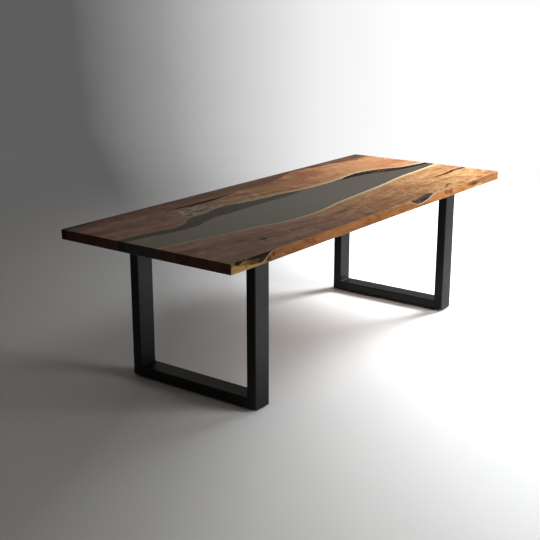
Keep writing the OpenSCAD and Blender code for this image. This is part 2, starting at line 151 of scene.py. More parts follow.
# Front side of the dark strip at the rear, in mm: along, across
BACK_STRIP = [
    [-1240, 392], [-900, 380], [-500, 370], [-150, 366], [0, 354], [170, 362], [300, 396], [408, 436],
    [500, 446], [595, 439], [722, 422], [850, 401], [977, 384], [1105, 376], [1240, 370],
]


# ---- Curves and noise ----
def curve(points, u):
    """Smooth curve through [u, value] points, at every u of an array."""
    p = np.asarray(points, float)
    us, vs = p[:, 0], p[:, 1]
    slopes = np.empty(len(us))
    slopes[1:-1] = (vs[2:] - vs[:-2]) / (us[2:] - us[:-2])
    slopes[0] = (vs[1] - vs[0]) / (us[1] - us[0])
    slopes[-1] = (vs[-1] - vs[-2]) / (us[-1] - us[-2])
    i = np.clip(np.searchsorted(us, u, "right") - 1, 0, len(us) - 2)
    h = us[i + 1] - us[i]
    t = (u - us[i]) / h
    return (
        (2 * t**3 - 3 * t**2 + 1) * vs[i] + (t**3 - 2 * t**2 + t) * h * slopes[i]
        + (3 * t**2 - 2 * t**3) * vs[i + 1] + (t**3 - t**2) * h * slopes[i + 1]
    )


def waver(x, step, seed):
    """Smooth random values from -1 to 1 along x, with a new one every step."""
    values = np.random.default_rng(seed).uniform(-1, 1, 1024)
    cell = np.floor(x / step).astype(int)
    t = x / step - cell
    t = t * t * (3 - 2 * t)
    return values[cell % 1024] * (1 - t) + values[(cell + 1) % 1024] * t


def crags(x, seed):
    """Ragged line along x, from about -1 to 1."""
    wide, middling, fine = waver(x, 0.055, seed), waver(x, 0.021, seed + 1), waver(x, 0.008, seed + 2)
    return 0.5 * wide + 0.32 * middling + 0.18 * fine


def bulge(t):
    """Share of the bark's reach at a share of the depth."""
    return 1 - (1 - t) ** BARK_ROUND


def rear_edge(x, t):
    """Y of the rear slab's live edge at a place along the table and a share of the depth."""
    u = x / LENGTH
    ragged = curve(REAR_RAGGED, u) * crags(x, seed=11)
    return MM * (curve(REAR_EDGE, u) - curve(REAR_REACH, u) * bulge(t) + ragged)


def front_edge(x, t):
    """Y of the front slab's live edge at a place along the table and a share of the depth."""
    u = x / LENGTH
    ragged = FRONT_RAGGED * crags(x, seed=21)
    return MM * (curve(FRONT_EDGE, u) + curve(FRONT_REACH, u) * bulge(t) + ragged)


# ---- Meshes ----
def make_object(name, points, faces):
    mesh = bpy.data.meshes.new(name)
    mesh.from_pydata([tuple(p) for p in points], [], faces)
    mesh.validate()
    piece = bpy.data.objects.new(name, mesh)
    bpy.context.scene.collection.objects.link(piece)
    bm = bmesh.new()
    bm.from_mesh(mesh)
    bmesh.ops.recalc_face_normals(bm, faces=bm.faces)
    bm.to_mesh(mesh)
    bm.free()
    return piece


def shell(name, stations, count, levels, place):
    """Rounded block of stations x rows x levels, closed, where place(x, row, t) gives (y, z)."""
    xs, rows, ts = np.meshgrid(stations, np.arange(count), levels, indexing="ij")
    ys, zs = place(xs, rows, ts)
    grid = np.stack([xs, ys, zs], -1)
    on_skin = np.zeros(xs.shape, bool)
    for axis in range(3):
        for end in (0, -1):
            on_skin[tuple(end if a == axis else slice(None) for a in range(3))] = True
    index = -np.ones(xs.shape, int)
    index[on_skin] = np.arange(on_skin.sum())
    sides = (index[:, :, 0], index[:, :, -1], index[:, 0], index[:, -1], index[0], index[-1])
    quads = np.concatenate([
        np.stack([ids[:-1, :-1], ids[1:, :-1], ids[1:, 1:], ids[:-1, 1:]], -1).reshape(-1, 4)
        for ids in sides
    ])
    piece = make_object(name, grid[on_skin], quads.tolist())
    round_arris(piece)
    return piece


def round_arris(piece):
    """Rounds the edges that lie on two of the top's outer planes."""
    bm = bmesh.new()
    bm.from_mesh(piece.data)
    near = 1e-6

    def planes(v):
        gaps = (TOP_Z - v.co.z, v.co.z - UNDER_Z, HALF_W - v.co.y, v.co.y + HALF_W,
                HALF_L - v.co.x, v.co.x + HALF_L)
        return {i for i, gap in enumerate(gaps) if abs(gap) < near}

    marks = {v: planes(v) for v in bm.verts}
    edges = [e for e in bm.edges if len(marks[e.verts[0]] & marks[e.verts[1]]) > 1]
    bmesh.ops.bevel(bm, geom=edges, offset=ARRIS, segments=4, profile=0.5, affect="EDGES")
    bm.to_mesh(piece.data)
    bm.free()


def boolean(piece, other, operation="DIFFERENCE"):
    """Cuts another piece out of a piece, or keeps what they share."""
    step = piece.modifiers.new("cut", "BOOLEAN")
    step.operation = operation
    step.solver = "MANIFOLD"
    step.object = other
    graph = bpy.context.evaluated_depsgraph_get()
    done = bpy.data.meshes.new_from_object(piece.evaluated_get(graph))
    piece.modifiers.clear()
    old = piece.data
    piece.data = done
    bpy.data.meshes.remove(old)


def discard(*pieces):
    for piece in pieces:
        bpy.data.objects.remove(piece)


def prisms(name, outlines, z_low, z_high):
    """Upright prisms over closed outlines of (x, y) points, as one piece."""
    points, faces = [], []
    for outline in outlines:
        n, first = len(outline), len(points)
        points += [(x, y, z) for z in (z_low, z_high) for x, y in outline]
        sides = [[i, (i + 1) % n, n + (i + 1) % n, n + i] for i in range(n)]
        ends = [list(range(n)), list(range(n, 2 * n))]
        faces += [[first + i for i in face] for face in sides + ends]
    return make_object(name, points, faces)


def crack_outline(points, seed, ragged):
    """Closed outline of a crack from [share of length, y, half width] points, ragged by some mm."""
    steps, least_half, least_width, fully_ragged = 140, 0.35, 0.5, 5
    p = np.asarray(points, float)
    us = np.linspace(p[0, 0], p[-1, 0], steps)
    middle = curve(p[:, [0, 1]], us)
    half = np.maximum(curve(p[:, [0, 2]], us), least_half)
    xs = us * LENGTH
    rough = ragged * np.minimum(half / fully_ragged, 1)
    low = middle - half + crags(xs, seed) * rough
    high = np.maximum(middle + half + crags(xs, seed + 5) * rough, low + least_width)
    there = [(x, y * MM) for x, y in zip(xs, low)]
    back = [(x, y * MM) for x, y in zip(xs[::-1], high[::-1])]
    return there + back


def plug_outline(x, y, half_l, half_w):
    """Closed outline of a knot's plug, a little uneven."""
    angles = np.linspace(0, 2 * math.pi, 37)[:-1]
    size = 1 + 0.12 * np.sin(3 * angles + x) + 0.08 * np.sin(5 * angles + y)
    return [((x + half_l * s * math.cos(a)) * MM, (y + half_w * s * math.sin(a)) * MM)
            for a, s in zip(angles, size)]


def corner_outline():
    """Closed outline of the resin corner, past the top's end and side."""
    length, fade, ragged, least = CORNER_FILL[-1][0], 60, 2.2, 0.3
    xs = np.linspace(0, length, 90)
    rough = ragged * crags(xs * MM, seed=61) * np.minimum(1, (length - xs) / fade)
    ins = np.maximum(curve(CORNER_FILL, xs) + rough, least)
    inner = [(-HALF_L + x * MM, HALF_W - i * MM) for x, i in zip(xs, ins)]
    inner[0] = (-HALF_L - CUT_PAST, inner[0][1])
    return inner + [(inner[-1][0], HALF_W + CUT_PAST), (-HALF_L - CUT_PAST, HALF_W + CUT_PAST)]


def arris_path(s, proud):
    """Point (y, z) a way s round the front arris: below 0 on the top, above 0 on the front face."""
    half = math.pi * ARRIS / 4
    angle = np.clip((s + half) / (2 * half), 0, 1) * math.pi / 2
    y = -HALF_W + ARRIS + np.maximum(-s - half, 0) - (ARRIS + proud) * np.sin(angle)
    z = TOP_Z - ARRIS - np.maximum(s - half, 0) + (ARRIS + proud) * np.cos(angle)
    return y, z


def pocket(name, rows, into, proud=0):
    """Closed skin of a pocket at the front arris, flush with both faces or proud of them."""
    step, least, ragged, points_round = 2.5, 0.6, 0.8, 29
    # How a pocket goes in from its mouth: mostly inward, a little down, and no steeper than its width
    inward, downward, steepest, fullness = 0.96, 0.28, 1.2, 0.7
    p = np.asarray(rows, float)
    xs = np.arange(p[0, 0], p[-1, 0], step)
    up = np.maximum(curve(p[:, [0, 1]], xs), least) * MM
    low = np.maximum(curve(p[:, [0, 2]], xs) + ragged * crags(xs * MM, seed=71), least) * MM
    v = np.linspace(0, 1, points_round)
    s = -up[:, None] + (up + low)[:, None] * v
    y, z = arris_path(s, 0)
    outer_y, outer_z = arris_path(s, proud)
    room = np.minimum(into, steepest * (up + low))[:, None] * np.sin(math.pi * v) ** fullness
    inner_y, inner_z = y + inward * room, z - downward * room
    ends = [-1, 0] if proud else []
    ys = np.concatenate([outer_y, y[:, ends[:1]], inner_y[:, -2:0:-1], y[:, ends[1:]]], 1)
    zs = np.concatenate([outer_z, z[:, ends[:1]], inner_z[:, -2:0:-1], z[:, ends[1:]]], 1)
    n, m = ys.shape
    points = np.stack([np.repeat(xs[:, None] * MM, m, 1), ys, zs], -1).reshape(-1, 3)
    faces = [
        [i * m + j, (i + 1) * m + j, (i + 1) * m + (j + 1) % m, i * m + (j + 1) % m]
        for i in range(n - 1) for j in range(m)
    ] + [list(range(m)), list(range((n - 1) * m, n * m))]
    piece = make_object(name, points, faces)
    if not proud:
        blank = np.zeros((n, m - len(v)))
        for key, value in (("way", s), ("rim", low[:, None] - s), ("brow", s + up[:, None])):
            add_values(piece, key, np.concatenate([value, blank], 1).ravel())
    return piece


def add_values(piece, name, values):
    """Gives every point of a mesh a value under a name, for its material to read."""
    layer = piece.data.attributes.new(name, "FLOAT", "POINT")
    layer.data.foreach_set("value", np.ascontiguousarray(values, np.float32))


def places(piece):
    """Points of a mesh, as rows of x, y, z."""
    co = np.empty(len(piece.data.vertices) * 3, np.float32)
    piece.data.vertices.foreach_get("co", co)
    return co.reshape(-1, 3).astype(float)


def finish_piece(piece, material, node):
    """Gives a piece its material and shading, tells the frame what it rides on, and hides the solid
    that it stands in for.
    """
    piece.data.materials.clear()
    piece.data.materials.append(material)
    for face in piece.data.polygons:
        face.use_smooth = True
    piece.data.set_sharp_from_angle(angle=SHARP_ANGLE)
    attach(piece, "table")
    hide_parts(node)


# ---- Shader building ----
class Graph:
    """Short calls for building the nodes of a material, a lamp or the world."""

    def __init__(self, owner):
        owner.use_nodes = True
        self.nodes = owner.node_tree.nodes
        self.links = owner.node_tree.links

    def put(self, socket, value):
        """Links a socket, or sets its value."""
        if isinstance(value, bpy.types.NodeSocket):
            self.links.new(value, socket)
        elif value is not None:
            if socket.type == "RGBA" and len(value) == 3:
                value = (*value, 1)
            socket.default_value = value

    def fill(self, node, values):
        """Links or sets inputs of a node, by their names."""
        for name, value in values.items():
            self.put(node.inputs[name], value)

    def node(self, kind, *values, **settings):
        """New node, with its settings and the values of its first inputs."""
        node = self.nodes.new(kind)
        for name, setting in settings.items():
            setattr(node, name, setting)
        for socket, value in zip(node.inputs, values):
            self.put(socket, value)
        return node

    def split(self, vector):
        return self.node("ShaderNodeSeparateXYZ", vector).outputs

    def join(self, x, y, z):
        return self.node("ShaderNodeCombineXYZ", x, y, z).outputs[0]

    def math(self, kind, a, b=None, c=None):
        return self.node("ShaderNodeMath", a, b, c, operation=kind).outputs[0]

    def add(self, a, b):
        return self.math("ADD", a, b)

    def times(self, a, b):
        return self.math("MULTIPLY", a, b)

    def vector(self, kind, a, b=None):
        node = self.node("ShaderNodeVectorMath", a, b, operation=kind)
        return node.outputs["Value" if kind in ("LENGTH", "DOT_PRODUCT") else "Vector"]

    def distance(self, vector, place):
        return self.vector("LENGTH", self.vector("SUBTRACT", vector, place))

    def noise(self, vector, scale, detail, rough, bend=0, output="Fac"):
        node = self.node("ShaderNodeTexNoise", vector)
        self.fill(node, {"Scale": scale, "Detail": detail, "Roughness": rough, "Distortion": bend})
        return node.outputs[output]

    def streaks(self, a, b, per_a, per_b, c, detail, rough, bend=0):
        """Noise over two values, each with its own count of marks a unit, and a third as it is."""
        place = self.join(self.times(a, per_a), self.times(b, per_b), c)
        return self.noise(place, 1, detail, rough, bend)

    def sway(self, noise, size):
        """Noise about zero, of a size."""
        return self.times(self.math("SUBTRACT", noise, 0.5), size)

    def loosened(self, vector, scale, reach):
        """Place that strays by a noise, so that the marks set by it have uneven rims."""
        stray = self.noise(vector, scale, 3, 0.6, output="Color")
        stray = self.vector("SUBTRACT", stray, (0.5, 0.5, 0.5))
        return self.vector("ADD", vector, self.vector("MULTIPLY", stray, reach))

    def spread(self, value, low, high, out_low=0, out_high=1, smooth=True):
        """Value from one range to another, and level beyond them."""
        node = self.node("ShaderNodeMapRange", value, low, high, out_low, out_high)
        node.interpolation_type = "SMOOTHSTEP" if smooth else "LINEAR"
        return node.outputs[0]

    def blend(self, share, a, b):
        """Value between two values."""
        return self.math("MULTIPLY_ADD", share, self.math("SUBTRACT", b, a), a)

    def mix(self, share, a, b, kind="MIX"):
        """Colour between two colours."""
        node = self.node("ShaderNodeMix", share, data_type="RGBA", blend_type=kind)
        self.put(node.inputs[6], a)
        self.put(node.inputs[7], b)
        return node.outputs[2]

    def ramp(self, share, stops):
        """Linear colours along a share, each (place, colour)."""
        node = self.node("ShaderNodeValToRGB", share)
        bands = node.color_ramp.elements
        while len(bands) < len(stops):
            bands.new(0.5)
        for band, (at, colour) in zip(bands, stops):
            band.position = at
            band.color = (*colour, 1)
        return node.outputs[0]

    def tones(self, share, stops):
        """sRGB colours along a share, each (place, (r, g, b))."""
        return self.ramp(share, [(at, srgb(*colour)) for at, colour in stops])

    def greys(self, share, stops):
        """Linear greys along a share, each (place, level)."""
        return self.ramp(share, [(at, (level, level, level)) for at, level in stops])

    def spot(self, vector, centre, radii, soft=0.4):
        """1 inside an ellipsoid and 0 outside it."""
        return self.spread(self.far_from(vector, centre, radii), 1 - soft, 1 + soft, 1, 0)

    def far_from(self, vector, centre, radii):
        """Distance from a centre in mm, as a share of the radii in mm."""
        gap = self.vector("SUBTRACT", vector, tuple(c * MM for c in centre))
        return self.vector("LENGTH", self.vector("DIVIDE", gap, tuple(r * MM for r in radii)))

    def stroke(self, vector, kx, ky, half_l, half_w, turn):
        """1 inside a thin dark mark on the top and 0 outside it; sizes in mm, turn in degrees."""
        gap = self.vector("SUBTRACT", vector, (kx * MM, ky * MM, down(0) * MM))
        node = self.node("ShaderNodeVectorRotate", gap, rotation_type="Z_AXIS")
        node.inputs["Angle"].default_value = -math.radians(turn)
        share = self.vector("DIVIDE", node.outputs[0], (half_l * MM, half_w * MM, STROKE_DEPTH))
        return self.spread(self.vector("LENGTH", share), 0.5, 1.2, 1, 0)


class Shader(Graph):
    """Nodes of a new material, whose colour is laid on in coats."""

    def __init__(self, name):
        self.material = bpy.data.materials.new(name)
        super().__init__(self.material)
        self.surface = self.nodes["Principled BSDF"]
        self.geometry = self.node("ShaderNodeNewGeometry").outputs
        self.place = self.geometry["Position"]
        self.colour = None

    def value(self, name):
        """Value that the mesh holds under a name."""
        return self.node("ShaderNodeAttribute", attribute_name=name).outputs["Fac"]

    def lay(self, share, colour):
        """Lays a colour over the colour so far."""
        self.colour = self.mix(share, self.colour, colour)

    def cut_end(self, share):
        """A share where the surface looks along the table, and 0 elsewhere."""
        along = self.math("ABSOLUTE", self.split(self.geometry["Normal"])[0])
        return self.spread(along, 0.6, 0.9, 0, share)

    def bump(self, height, strength, distance):
        node = self.node("ShaderNodeBump")
        self.fill(node, {"Strength": strength, "Distance": distance, "Height": height})
        self.fill(self.surface, {"Normal": node.outputs[0]})

    def finish(self, rough, gloss=None, metal=None):
        """The material, with its colour and other values in place."""
        self.fill(self.surface, {"Base Color": self.colour, "Roughness": rough,
                                 "Specular IOR Level": gloss, "Metallic": metal})
        return self.material


def srgb(r, g, b):
    """Linear colour of an sRGB one from 0 to 255."""
    return tuple(
        c / 255 / 12.92 if c <= 10 else ((c / 255 + 0.055) / 1.055) ** 2.4 for c in (r, g, b)
    )


def down(depth):
    """Height in mm of a place some mm below the top."""
    return TOP_Z / MM - depth


# ---- Colours of the wood, dark to light: (place along the ramp, sRGB colour) ----
ORANGE = (
    (0, (122, 76, 46)), (0.3, (168, 112, 70)), (0.55, (196, 140, 93)), (0.8, (212, 161, 110)),
    (1, (226, 181, 133)),
)
REAR_HONEY = (
    (0, (172, 105, 66)), (0.3, (206, 138, 92)), (0.6, (226, 164, 117)), (1, (240, 189, 141)),
)
FRONT_HONEY = (
    (0, (164, 98, 52)), (0.3, (198, 136, 82)), (0.6, (222, 166, 108)), (1, (238, 194, 138)),
)
# Mauve of the near end: partly the wood's colour and partly painted shade, darker where the light falls
# off
SHADED_MAUVE = (
    (0, (117, 86, 76)), (0.3, (145, 111, 97)), (0.55, (162, 127, 112)), (0.8, (175, 140, 124)),
    (1, (191, 157, 138)),
)
NEAR_STRIP = (
    (0, (98, 68, 55)), (0.4, (118, 84, 69)), (0.75, (134, 99, 83)), (1, (154, 118, 101)),
)
FAR_STRIP = (
    (0, (78, 42, 29)), (0.4, (98, 60, 42)), (0.75, (118, 76, 54)), (1, (142, 98, 72)),
)
NEAR_FACE = ((0.32, (98, 54, 24)), (0.46, (152, 96, 48)), (0.6, (184, 124, 68)))
FAR_FACE = ((0.32, (140, 82, 38)), (0.44, (198, 130, 72)), (0.6, (228, 164, 102)))
BARK = ((0.38, (94, 78, 66)), (0.5, (158, 142, 124)), (0.6, (220, 206, 184)))
# Patches of grey bark on the rear slab, in mm: (along, across), radii
BARK_PATCHES = (
    ((-575, 245), (170, 60)), ((-520, 205), (150, 26)), ((-640, 186), (80, 22)),
    ((-330, 186), (170, 14)),
)
# A knot that is longer than this, in mm, bends the grain and has no dark eye
LONGEST_EYE = 60
STROKE_DEPTH = 12 * MM


# ---- Materials ----
def growth_lines(s, loose, x, knots):
    """Place across the growth rings, which run round the knots, and the share of a knot's dark eye."""
    ring = s.value("ring")
    line = s.add(ring, s.sway(s.streaks(x, ring, 1.9, 7, 1, 3, 0.5), 0.075))
    eye = None
    for kx, ky, depth, rx, ry, rz in knots:
        away = s.far_from(loose, (kx, ky, down(depth)), (rx, ry, rz))
        pull = s.math("EXPONENT", s.times(s.times(away, away), -1.3))
        line = s.blend(pull, line, 0.003 * ((kx * 7 + ky) % 11) + 0.12)
        line = s.add(line, s.times(pull, s.times(away, 0.02)))
        if rx > LONGEST_EYE:
            continue
        core = s.spread(away, 0.12, 0.42, 1, 0)
        eye = core if eye is None else s.math("MAXIMUM", eye, core)
    return line, eye


def lay_wood(s, side, x, tone, fleck):
    """Mauve at the near end, partly painted shade where the light falls off, honey at the far end, and
    the dark strip at the rear.
    """
    honey = s.tones(tone, REAR_HONEY if side > 0 else FRONT_HONEY)
    s.colour = s.mix(s.spread(x, 0.24, 0.68), s.tones(tone, ORANGE), honey)
    # Painted shade in part: the near end goes darker and greyer, to the mauve
    s.lay(s.spread(x, 0.25, -0.8), s.tones(tone, SHADED_MAUVE))
    worn = s.spread(x, -1, 0.6, 0.25, 0.75)
    s.lay(s.times(s.spread(fleck, 0.56, 0.65), worn), srgb(116, 66, 38))
    if side > 0:
        strip = s.mix(s.spread(x, -0.1, 0.5), s.tones(tone, NEAR_STRIP), s.tones(tone, FAR_STRIP))
        s.lay(s.times(s.value("back"), 0.9), strip)


def lay_spots(s, loose, grain, spots):
    """Patches of other colour, in which the grain still shows."""
    for (along, across, depth), radii, soft, amount, colour in spots:
        where = s.spot(loose, (along, across, down(depth)), radii, soft)
        dark = srgb(*(0.82 * c for c in colour))
        light = srgb(*(min(1.1 * c, 255) for c in colour))
        s.lay(s.times(where, amount), s.mix(s.spread(grain, 0.3, 0.7), dark, light))


def lay_front_face(s, face, x, y, z, fibre):
    slant = s.math("MULTIPLY_ADD", x, 9, s.times(z, 60))
    cross = s.streaks(x, y, 13, 60, slant, 4, 0.6, 0.8)
    cross = s.add(s.times(cross, 0.7), s.times(fibre, 0.3))
    figure = s.mix(s.spread(x, -0.2, 0.6), s.tones(cross, NEAR_FACE), s.tones(cross, FAR_FACE))
    s.lay(s.times(face, 0.92), figure)


def lay_live_edge(s, side, x):
    """Sapwood, and a cream line at the resin."""
    sap = s.value("sap")
    edge = s.add(sap, s.sway(s.streaks(x, sap, 16, 40, 5, 4, 0.6), 0.008))
    sapwood = s.mix(s.spread(x, -0.8, 0.4), srgb(180, 148, 120), srgb(232, 190, 136))
    s.lay(s.spread(edge, 0.010, 0.050, 0.6, 0), sapwood)
    cream = s.mix(s.spread(x, -1.1, 0.5), srgb(206, 188, 164), srgb(246, 232, 198))
    width = s.spread(x, -1.1, 0.9, *((0.001, 0.012) if side > 0 else (0.008, 0.017)))
    s.lay(s.math("DIVIDE", s.math("SUBTRACT", width, edge), 0.004), cream)


def wood_material(name, side, knots, spots, strokes, face_spots):
    """Oiled wood, whose rings follow the live edge and run round the knots."""
    s = Shader(name)
    x, y, z = s.split(s.place)
    loose = s.loosened(s.place, 55, (0.022, 0.010, 0.010))
    line, eye = growth_lines(s, loose, x, knots)

    broad = s.streaks(x, line, 1.1, 21, 0.3, 3, 0.55, 0.2)
    grain = s.streaks(x, line, 3, 120, 2.1, 4, 0.6, 0.2)
    fibre = s.streaks(x, line, 24, 800, 4.7, 3, 0.6)
    fleck = s.streaks(x, line, 26, 210, 6.1, 3, 0.55, 0.4)
    patch = s.noise(s.place, 9, 5, 0.62, 1.2)
    pores = s.streaks(x, line, 90, 900, 9.3, 2, 0.5)
    tone = s.add(s.times(broad, 0.28), s.add(s.times(grain, 0.46), s.times(patch, 0.38)))

    lay_wood(s, side, x, s.spread(tone, 0.45, 0.67, smooth=False), fleck)
    lay_spots(s, loose, grain, spots)
    if side > 0:
        bark = s.tones(s.streaks(x, y, 26, 64, 8, 5, 0.68, 0.7), BARK)
        for centre, radii in BARK_PATCHES:
            s.lay(s.times(s.spot(loose, (*centre, down(0)), (*radii, 60), 0.35), 0.9), bark)
    for *mark, amount in strokes:
        s.lay(s.times(s.stroke(loose, *mark), amount), srgb(84, 44, 30))
    face = s.spread(s.split(s.geometry["Normal"])[1], -0.6, -0.9)
    lay_front_face(s, face, x, y, z, fibre)
    lay_spots(s, loose, grain, face_spots)
    lay_live_edge(s, side, x)
    s.lay(s.spread(fibre, 0.42, 0.70, 0, 0.22), srgb(116, 72, 48))
    s.lay(s.spread(pores, 0.62, 0.72, 0, 0.45), srgb(92, 54, 36))
    s.lay(s.times(eye, 0.86), srgb(60, 34, 24))
    stipple = s.noise(s.place, 420, 2, 0.6)
    s.lay(s.cut_end(0.78), s.mix(s.spread(stipple, 0.35, 0.65), srgb(66, 38, 38), srgb(98, 62, 56)))

    s.bump(s.add(s.times(grain, 0.6), s.times(pores, -0.4)), 0.08, 0.0006)
    return s.finish(s.spread(grain, 0.3, 0.7, 0.42, 0.52), s.blend(face, 0.15, 0.05))


def river_material():
    """Smoky resin, paler towards the near end as painted light, with the sunken bark of the rear slab
    showing through it as a band that is partly painted shade.
    """
    s = Shader("smoky_river_resin")
    x, y, _ = s.split(s.place)
    past, inside, brown = s.value("past"), s.value("inside"), s.value("brown")
    crag = s.streaks(x, y, 42, 70, 1, 5, 0.62, 0.5)
    streak = s.streaks(x, inside, 14, 130, 3, 4, 0.6, 0.5)
    cloud = s.streaks(x, y, 1.6, 4, 0, 3, 0.5, 0.4)
    # Painted light: the resin is paler towards the near end and darker towards the far end, evening out
    # the light that falls off towards the near end
    near = s.ramp(cloud, [(0.3, (0.135, 0.128, 0.104)), (0.7, (0.165, 0.155, 0.128))])
    far = s.ramp(cloud, [(0.3, (0.030, 0.020, 0.008)), (0.7, (0.044, 0.031, 0.014))])
    s.colour = s.mix(s.spread(x, -0.9, 0.9, smooth=False), near, far)
    at = s.add(past, s.sway(crag, 0.016))
    # Sunken bark: its own dark colour and partly painted shade, where the bark keeps the light from
    # below out of the resin
    bark_with_painted_shade = s.ramp(s.add(s.times(crag, 0.5), s.times(streak, 0.5)), [
        (0.36, (0.026, 0.024, 0.018)), (0.5, (0.072, 0.066, 0.052)), (0.64, (0.130, 0.118, 0.092)),
    ])
    rough_bark = s.ramp(s.add(s.times(crag, 0.55), s.times(streak, 0.45)), [
        (0.42, (0.006, 0.003, 0.002)), (0.52, (0.030, 0.014, 0.007)), (0.62, (0.160, 0.078, 0.034)),
    ])
    rust = s.spot(s.join(x, y, TOP_Z), (850, 74, down(0)), (90, 34, 60), 0.5)
    rough_bark = s.mix(s.times(rust, s.spread(crag, 0.4, 0.6)), rough_bark, (0.190, 0.085, 0.034))
    rough_bark = s.mix(s.spread(at, -0.014, -0.005, 0, 0.85), rough_bark, (0.010, 0.006, 0.004))
    here = s.spread(at, -0.003, 0.003, 1, 0)
    s.lay(here, s.mix(brown, bark_with_painted_shade, rough_bark))
    s.lay(s.cut_end(0.95), (0.005, 0.005, 0.008))
    s.bump(s.noise(s.place, 260, 2, 0.5), 0.03, 0.0004)
    return s.finish(s.blend(here, 0.3, 0.5), s.blend(here, 0.45, s.blend(brown, 0.34, 0.01)))


def blotch_material(name, dark, light, end=(24, 16, 15)):
    """Cloudy resin between two colours, with another colour where it is cut at the ends."""
    s = Shader(name)
    x, y, z = s.split(s.place)
    s.colour = s.tones(s.streaks(x, y, 22, 90, s.times(z, 60), 4, 0.6, 0.4),
                       ((0.32, dark), (0.68, light)))
    s.lay(s.cut_end(0.85), srgb(*end))
    return s.finish(rough=0.4, gloss=0.01)


def near_pocket_material():
    """Bark hollow under clear resin: olive at the corner, dark brown in the hollow, a pale rim."""
    s = Shader("near_pocket_resin")
    x, _, z = s.split(s.place)
    loose = s.loosened(s.place, 90, (0.026, 0, 0.012))
    along = s.split(loose)[0]
    blotch = s.noise(s.join(s.times(x, 60), 0, s.times(z, 150)), 1, 4, 0.6, 0.5)
    olive = s.tones(blotch, ((0.32, (70, 50, 18)), (0.5, (136, 110, 50)), (0.66, (176, 150, 84))))
    hollow = s.tones(blotch, ((0.3, (24, 12, 6)), (0.7, (64, 42, 22))))
    middle = s.tones(blotch, ((0.34, (46, 30, 12)), (0.62, (116, 92, 42))))
    s.colour = s.mix(s.spread(along, -1.150, -1.085), olive, middle)
    s.lay(s.spread(along, -1.075, -1.020), hollow)
    s.lay(s.spot(loose, (-1040, -480, down(4)), (80, 40, 9)), srgb(24, 12, 8))
    for at, depth, size in ((-1180, 3, 15), (-1162, 2, 13), (-1140, 0, 8), (-1176, 9, 10)):
        s.lay(s.spot(loose, (at, -480, down(depth)), (size, 40, 0.55 * size)), srgb(22, 10, 6))
    rim = s.add(s.value("rim"), s.sway(blotch, 0.003))
    pale = s.mix(s.spread(along, -1.06, -0.97), srgb(150, 122, 70), srgb(176, 150, 122))
    s.lay(s.spread(rim, 0.0022, 0.0042, 1, 0), pale)
    return s.finish(rough=0.3, gloss=0.03)


def far_pocket_material():
    """Almond-shaped hollow under clear resin: near black, brown below, a painted sheen along the arris,
    a pale rim at its lower side.
    """
    s = Shader("far_pocket_resin")
    x, y, z = s.split(s.place)
    way, rim, brow = s.value("way"), s.value("rim"), s.value("brow")
    blotch = s.streaks(x, y, 40, 160, s.times(z, 200), 4, 0.6, 0.5)
    s.colour = s.tones(blotch, ((0.3, (22, 12, 12)), (0.7, (56, 36, 34))))
    low = s.times(s.spread(way, 0.004, 0.012), s.spread(x, 0.290, 0.350, 1, 0))
    s.lay(low, s.tones(blotch, ((0.3, (60, 36, 14)), (0.7, (124, 86, 40)))))
    # Painted sheen: a purple-grey band along the arris, standing for the resin's reflection there
    painted_sheen = s.times(s.spread(way, -0.009, -0.004), s.spread(way, 0.001, 0.004, 1, 0))
    s.lay(s.times(painted_sheen, s.spread(blotch, 0.4, 0.6, 0.2, 0.8)), srgb(122, 104, 126))
    inside = s.add(rim, s.sway(blotch, 0.002))
    pale = s.mix(s.spread(x, 0.22, 0.34), srgb(196, 164, 118), srgb(226, 204, 182))
    s.lay(s.spread(inside, 0.0038, 0.0054, 1, 0), pale)
    s.lay(s.spread(brow, 0.0010, 0.0024, 0.7, 0), srgb(96, 58, 38))
    ends = s.math("MAXIMUM", s.spread(x, 0.196, 0.214, 1, 0), s.spread(x, 0.440, 0.462))
    s.lay(ends, srgb(206, 172, 136))
    return s.finish(rough=0.3, gloss=0.03)


def waved(name, scale, detail, rough, dark, light):
    """Shader whose colour wavers between two, and its wave."""
    s = Shader(name)
    wave = s.noise(s.place, scale, detail, rough)
    s.colour = s.tones(wave, ((0.3, dark), (0.7, light)))
    return s, wave


def steel_material():
    s, wave = waved("black_powder_coat", 6, 2, 0.5, (10, 9, 10), (15, 14, 14))
    s.bump(s.noise(s.place, 900, 2, 0.6), 0.12, 0.0004)
    return s.finish(s.spread(wave, 0.3, 0.7, 0.40, 0.48), gloss=0.24)


def zinc_material():
    s, wave = waved("zinc_plate", 220, 3, 0.6, (176, 178, 182), (206, 207, 208))
    return s.finish(s.spread(wave, 0.3, 0.7, 0.28, 0.42), metal=1)


def brass_material():
    s, _ = waved("turned_brass", 300, 3, 0.6, (196, 156, 88), (222, 186, 112))
    return s.finish(rough=0.3, metal=1)


def rubber_material():
    s, wave = waved("black_rubber", 400, 3, 0.6, (26, 26, 26), (40, 40, 39))
    s.bump(wave, 0.2, 0.0003)
    return s.finish(rough=0.75)


# ---- The top ----
STATIONS = np.linspace(-HALF_L, HALF_L, 489)
# Levels from the top face to the underside, as shares of the thickness
LEVELS = np.array([0, 0.1, 0.25, 0.45, 0.7, 1])
# Rows across a slab: close to the live edge, and evenly from there to the outer side
NEAR_ROWS = MM * np.array([0, 3, 7, 12, 18, 26, 36, 48, 62, 80])
FAR_ROWS = 26


def slab(name, edge, outer):
    """Slab between a live edge and its straight outer side."""
    def place(x, row, t):
        start = edge(x, t)
        near = NEAR_ROWS[np.minimum(row, len(NEAR_ROWS) - 1)]
        beyond = np.maximum(row - len(NEAR_ROWS) + 1, 0) / FAR_ROWS
        across = near + beyond * (np.abs(outer - start) - near)
        return start + np.sign(outer) * across, TOP_Z - t * THICK

    return shell(name, STATIONS, len(NEAR_ROWS) + FAR_ROWS, LEVELS, place)


